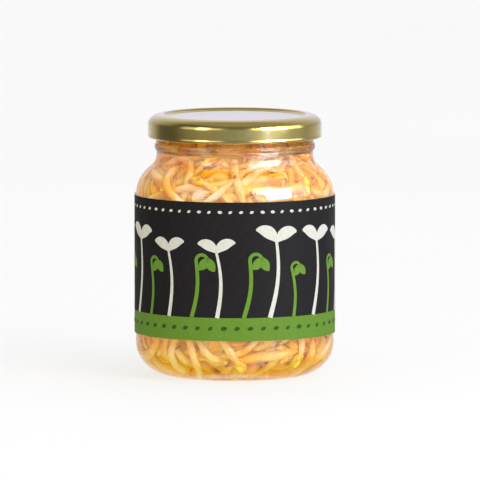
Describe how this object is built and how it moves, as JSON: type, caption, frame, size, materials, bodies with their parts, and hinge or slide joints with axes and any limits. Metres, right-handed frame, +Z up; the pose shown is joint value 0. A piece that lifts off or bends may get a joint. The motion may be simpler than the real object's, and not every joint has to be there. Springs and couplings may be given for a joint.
{
  "type": "jar of bean sprouts",
  "caption": "Clear glass food jar with a gold twist-off lid and a dark wrapped paper label, packed with pale bean sprouts in golden brine.",
  "frame": {"origin": "on the jar's axis, at the plane its foot ring stands on", "axes": "+Z up the jar's axis, towards the lid; -Y towards the front of the label; +X to the right as seen from the front"},
  "size_m": [0.0793, 0.0794, 0.1035],
  "materials": {
    "clear_glass": "clear, smooth",
    "gold_lacquer": "glossy gold lacquer on tinplate",
    "sealing_compound": "soft, matt",
    "printed_paper": "satin print, charcoal with a green band",
    "brine": "clear golden liquid",
    "sprout_flesh": "moist, translucent flesh"
  },
  "bodies": {
    "jar": {"glass_jar": "clear_glass", "label": "printed_paper", "brine": "brine", "sprout_tangle": "sprout_flesh"},
    "lid": {"lid": "gold_lacquer", "sealing_ring": "sealing_compound"}
  },
  "joints": [
    {"name": "lid_twist", "type": "hinge", "parent": "jar", "child": "lid", "pos_m": [0, 0, 0.098], "axis": [0, 0, 1], "range_deg": [0, 60]}
  ]
}
